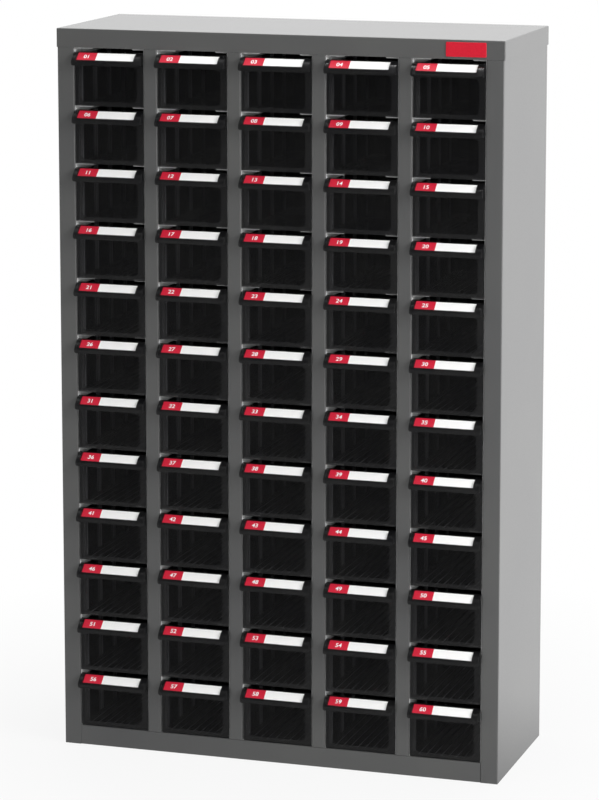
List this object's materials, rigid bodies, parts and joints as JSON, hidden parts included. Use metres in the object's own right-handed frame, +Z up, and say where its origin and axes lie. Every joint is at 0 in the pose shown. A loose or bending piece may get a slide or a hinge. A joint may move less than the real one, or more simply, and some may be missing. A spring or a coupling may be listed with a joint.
{
  "type": "parts bin cabinet",
  "caption": "Tall steel parts cabinet with columns of smoked see-through bins that slide out on zinc runner racks, each with a hooded handle and a label card.",
  "frame": {"origin": "centre of the footprint on the floor, with the drawer handles included", "axes": "+Z up, -Y out of the front, where the drawers open, +X to the viewer's right"},
  "size_m": [0.586, 0.235, 0.937],
  "materials": {
    "case_paint": "satin grey powder coat",
    "zinc": "bright zinc plate",
    "smoked_plastic": "glossy smoked see-through plastic",
    "badge_red": "gloss red",
    "rivet_steel": "plain"
  },
  "bodies": {
    "cabinet": {"top_cap": "case_paint", "left_side_panel": "case_paint", "right_side_panel": "case_paint", "back_panel": "case_paint", "bottom_panel": "case_paint", "top_rail": "case_paint", "mullions": "case_paint", "rack_sheets": "zinc", "runners": "zinc", "badge_plate": "badge_red", "rivets": "rivet_steel"},
    "drawer_c1_r01": {"drawer_c1_r01": "smoked_plastic"},
    "drawer_c1_r02": {"drawer_c1_r02": "smoked_plastic"},
    "drawer_c1_r03": {"drawer_c1_r03": "smoked_plastic"},
    "drawer_c1_r04": {"drawer_c1_r04": "smoked_plastic"},
    "drawer_c1_r05": {"drawer_c1_r05": "smoked_plastic"},
    "drawer_c1_r06": {"drawer_c1_r06": "smoked_plastic"},
    "drawer_c1_r07": {"drawer_c1_r07": "smoked_plastic"},
    "drawer_c1_r08": {"drawer_c1_r08": "smoked_plastic"},
    "drawer_c1_r09": {"drawer_c1_r09": "smoked_plastic"},
    "drawer_c1_r10": {"drawer_c1_r10": "smoked_plastic"},
    "drawer_c1_r11": {"drawer_c1_r11": "smoked_plastic"},
    "drawer_c1_r12": {"drawer_c1_r12": "smoked_plastic"},
    "drawer_c2_r01": {"drawer_c2_r01": "smoked_plastic"},
    "drawer_c2_r02": {"drawer_c2_r02": "smoked_plastic"},
    "drawer_c2_r03": {"drawer_c2_r03": "smoked_plastic"},
    "drawer_c2_r04": {"drawer_c2_r04": "smoked_plastic"},
    "drawer_c2_r05": {"drawer_c2_r05": "smoked_plastic"},
    "drawer_c2_r06": {"drawer_c2_r06": "smoked_plastic"},
    "drawer_c2_r07": {"drawer_c2_r07": "smoked_plastic"},
    "drawer_c2_r08": {"drawer_c2_r08": "smoked_plastic"},
    "drawer_c2_r09": {"drawer_c2_r09": "smoked_plastic"},
    "drawer_c2_r10": {"drawer_c2_r10": "smoked_plastic"},
    "drawer_c2_r11": {"drawer_c2_r11": "smoked_plastic"},
    "drawer_c2_r12": {"drawer_c2_r12": "smoked_plastic"},
    "drawer_c3_r01": {"drawer_c3_r01": "smoked_plastic"},
    "drawer_c3_r02": {"drawer_c3_r02": "smoked_plastic"},
    "drawer_c3_r03": {"drawer_c3_r03": "smoked_plastic"},
    "drawer_c3_r04": {"drawer_c3_r04": "smoked_plastic"},
    "drawer_c3_r05": {"drawer_c3_r05": "smoked_plastic"},
    "drawer_c3_r06": {"drawer_c3_r06": "smoked_plastic"},
    "drawer_c3_r07": {"drawer_c3_r07": "smoked_plastic"},
    "drawer_c3_r08": {"drawer_c3_r08": "smoked_plastic"},
    "drawer_c3_r09": {"drawer_c3_r09": "smoked_plastic"},
    "drawer_c3_r10": {"drawer_c3_r10": "smoked_plastic"},
    "drawer_c3_r11": {"drawer_c3_r11": "smoked_plastic"},
    "drawer_c3_r12": {"drawer_c3_r12": "smoked_plastic"},
    "drawer_c4_r01": {"drawer_c4_r01": "smoked_plastic"},
    "drawer_c4_r02": {"drawer_c4_r02": "smoked_plastic"},
    "drawer_c4_r03": {"drawer_c4_r03": "smoked_plastic"},
    "drawer_c4_r04": {"drawer_c4_r04": "smoked_plastic"},
    "drawer_c4_r05": {"drawer_c4_r05": "smoked_plastic"},
    "drawer_c4_r06": {"drawer_c4_r06": "smoked_plastic"},
    "drawer_c4_r07": {"drawer_c4_r07": "smoked_plastic"},
    "drawer_c4_r08": {"drawer_c4_r08": "smoked_plastic"},
    "drawer_c4_r09": {"drawer_c4_r09": "smoked_plastic"},
    "drawer_c4_r10": {"drawer_c4_r10": "smoked_plastic"},
    "drawer_c4_r11": {"drawer_c4_r11": "smoked_plastic"},
    "drawer_c4_r12": {"drawer_c4_r12": "smoked_plastic"},
    "drawers_c5": {"drawers_c5": "smoked_plastic"}
  },
  "joints": [
    {"name": "slide_c1_r01", "type": "slide", "parent": "cabinet", "child": "drawer_c1_r01", "axis": [0, -1, 0], "range_m": [0, 0.165]},
    {"name": "slide_c1_r02", "type": "slide", "parent": "cabinet", "child": "drawer_c1_r02", "axis": [0, -1, 0], "range_m": [0, 0.165]},
    {"name": "slide_c1_r03", "type": "slide", "parent": "cabinet", "child": "drawer_c1_r03", "axis": [0, -1, 0], "range_m": [0, 0.165]},
    {"name": "slide_c1_r04", "type": "slide", "parent": "cabinet", "child": "drawer_c1_r04", "axis": [0, -1, 0], "range_m": [0, 0.165]},
    {"name": "slide_c1_r05", "type": "slide", "parent": "cabinet", "child": "drawer_c1_r05", "axis": [0, -1, 0], "range_m": [0, 0.165]},
    {"name": "slide_c1_r06", "type": "slide", "parent": "cabinet", "child": "drawer_c1_r06", "axis": [0, -1, 0], "range_m": [0, 0.165]},
    {"name": "slide_c1_r07", "type": "slide", "parent": "cabinet", "child": "drawer_c1_r07", "axis": [0, -1, 0], "range_m": [0, 0.165]},
    {"name": "slide_c1_r08", "type": "slide", "parent": "cabinet", "child": "drawer_c1_r08", "axis": [0, -1, 0], "range_m": [0, 0.165]},
    {"name": "slide_c1_r09", "type": "slide", "parent": "cabinet", "child": "drawer_c1_r09", "axis": [0, -1, 0], "range_m": [0, 0.165]},
    {"name": "slide_c1_r10", "type": "slide", "parent": "cabinet", "child": "drawer_c1_r10", "axis": [0, -1, 0], "range_m": [0, 0.165]},
    {"name": "slide_c1_r11", "type": "slide", "parent": "cabinet", "child": "drawer_c1_r11", "axis": [0, -1, 0], "range_m": [0, 0.165]},
    {"name": "slide_c1_r12", "type": "slide", "parent": "cabinet", "child": "drawer_c1_r12", "axis": [0, -1, 0], "range_m": [0, 0.165]},
    {"name": "slide_c2_r01", "type": "slide", "parent": "cabinet", "child": "drawer_c2_r01", "axis": [0, -1, 0], "range_m": [0, 0.165]},
    {"name": "slide_c2_r02", "type": "slide", "parent": "cabinet", "child": "drawer_c2_r02", "axis": [0, -1, 0], "range_m": [0, 0.165]},
    {"name": "slide_c2_r03", "type": "slide", "parent": "cabinet", "child": "drawer_c2_r03", "axis": [0, -1, 0], "range_m": [0, 0.165]},
    {"name": "slide_c2_r04", "type": "slide", "parent": "cabinet", "child": "drawer_c2_r04", "axis": [0, -1, 0], "range_m": [0, 0.165]},
    {"name": "slide_c2_r05", "type": "slide", "parent": "cabinet", "child": "drawer_c2_r05", "axis": [0, -1, 0], "range_m": [0, 0.165]},
    {"name": "slide_c2_r06", "type": "slide", "parent": "cabinet", "child": "drawer_c2_r06", "axis": [0, -1, 0], "range_m": [0, 0.165]},
    {"name": "slide_c2_r07", "type": "slide", "parent": "cabinet", "child": "drawer_c2_r07", "axis": [0, -1, 0], "range_m": [0, 0.165]},
    {"name": "slide_c2_r08", "type": "slide", "parent": "cabinet", "child": "drawer_c2_r08", "axis": [0, -1, 0], "range_m": [0, 0.165]},
    {"name": "slide_c2_r09", "type": "slide", "parent": "cabinet", "child": "drawer_c2_r09", "axis": [0, -1, 0], "range_m": [0, 0.165]},
    {"name": "slide_c2_r10", "type": "slide", "parent": "cabinet", "child": "drawer_c2_r10", "axis": [0, -1, 0], "range_m": [0, 0.165]},
    {"name": "slide_c2_r11", "type": "slide", "parent": "cabinet", "child": "drawer_c2_r11", "axis": [0, -1, 0], "range_m": [0, 0.165]},
    {"name": "slide_c2_r12", "type": "slide", "parent": "cabinet", "child": "drawer_c2_r12", "axis": [0, -1, 0], "range_m": [0, 0.165]},
    {"name": "slide_c3_r01", "type": "slide", "parent": "cabinet", "child": "drawer_c3_r01", "axis": [0, -1, 0], "range_m": [0, 0.165]},
    {"name": "slide_c3_r02", "type": "slide", "parent": "cabinet", "child": "drawer_c3_r02", "axis": [0, -1, 0], "range_m": [0, 0.165]},
    {"name": "slide_c3_r03", "type": "slide", "parent": "cabinet", "child": "drawer_c3_r03", "axis": [0, -1, 0], "range_m": [0, 0.165]},
    {"name": "slide_c3_r04", "type": "slide", "parent": "cabinet", "child": "drawer_c3_r04", "axis": [0, -1, 0], "range_m": [0, 0.165]},
    {"name": "slide_c3_r05", "type": "slide", "parent": "cabinet", "child": "drawer_c3_r05", "axis": [0, -1, 0], "range_m": [0, 0.165]},
    {"name": "slide_c3_r06", "type": "slide", "parent": "cabinet", "child": "drawer_c3_r06", "axis": [0, -1, 0], "range_m": [0, 0.165]},
    {"name": "slide_c3_r07", "type": "slide", "parent": "cabinet", "child": "drawer_c3_r07", "axis": [0, -1, 0], "range_m": [0, 0.165]},
    {"name": "slide_c3_r08", "type": "slide", "parent": "cabinet", "child": "drawer_c3_r08", "axis": [0, -1, 0], "range_m": [0, 0.165]},
    {"name": "slide_c3_r09", "type": "slide", "parent": "cabinet", "child": "drawer_c3_r09", "axis": [0, -1, 0], "range_m": [0, 0.165]},
    {"name": "slide_c3_r10", "type": "slide", "parent": "cabinet", "child": "drawer_c3_r10", "axis": [0, -1, 0], "range_m": [0, 0.165]},
    {"name": "slide_c3_r11", "type": "slide", "parent": "cabinet", "child": "drawer_c3_r11", "axis": [0, -1, 0], "range_m": [0, 0.165]},
    {"name": "slide_c3_r12", "type": "slide", "parent": "cabinet", "child": "drawer_c3_r12", "axis": [0, -1, 0], "range_m": [0, 0.165]},
    {"name": "slide_c4_r01", "type": "slide", "parent": "cabinet", "child": "drawer_c4_r01", "axis": [0, -1, 0], "range_m": [0, 0.165]},
    {"name": "slide_c4_r02", "type": "slide", "parent": "cabinet", "child": "drawer_c4_r02", "axis": [0, -1, 0], "range_m": [0, 0.165]},
    {"name": "slide_c4_r03", "type": "slide", "parent": "cabinet", "child": "drawer_c4_r03", "axis": [0, -1, 0], "range_m": [0, 0.165]},
    {"name": "slide_c4_r04", "type": "slide", "parent": "cabinet", "child": "drawer_c4_r04", "axis": [0, -1, 0], "range_m": [0, 0.165]},
    {"name": "slide_c4_r05", "type": "slide", "parent": "cabinet", "child": "drawer_c4_r05", "axis": [0, -1, 0], "range_m": [0, 0.165]},
    {"name": "slide_c4_r06", "type": "slide", "parent": "cabinet", "child": "drawer_c4_r06", "axis": [0, -1, 0], "range_m": [0, 0.165]},
    {"name": "slide_c4_r07", "type": "slide", "parent": "cabinet", "child": "drawer_c4_r07", "axis": [0, -1, 0], "range_m": [0, 0.165]},
    {"name": "slide_c4_r08", "type": "slide", "parent": "cabinet", "child": "drawer_c4_r08", "axis": [0, -1, 0], "range_m": [0, 0.165]},
    {"name": "slide_c4_r09", "type": "slide", "parent": "cabinet", "child": "drawer_c4_r09", "axis": [0, -1, 0], "range_m": [0, 0.165]},
    {"name": "slide_c4_r10", "type": "slide", "parent": "cabinet", "child": "drawer_c4_r10", "axis": [0, -1, 0], "range_m": [0, 0.165]},
    {"name": "slide_c4_r11", "type": "slide", "parent": "cabinet", "child": "drawer_c4_r11", "axis": [0, -1, 0], "range_m": [0, 0.165]},
    {"name": "slide_c4_r12", "type": "slide", "parent": "cabinet", "child": "drawer_c4_r12", "axis": [0, -1, 0], "range_m": [0, 0.165]},
    {"name": "slide_c5", "type": "slide", "parent": "cabinet", "child": "drawers_c5", "axis": [0, -1, 0], "range_m": [0, 0.165]}
  ]
}
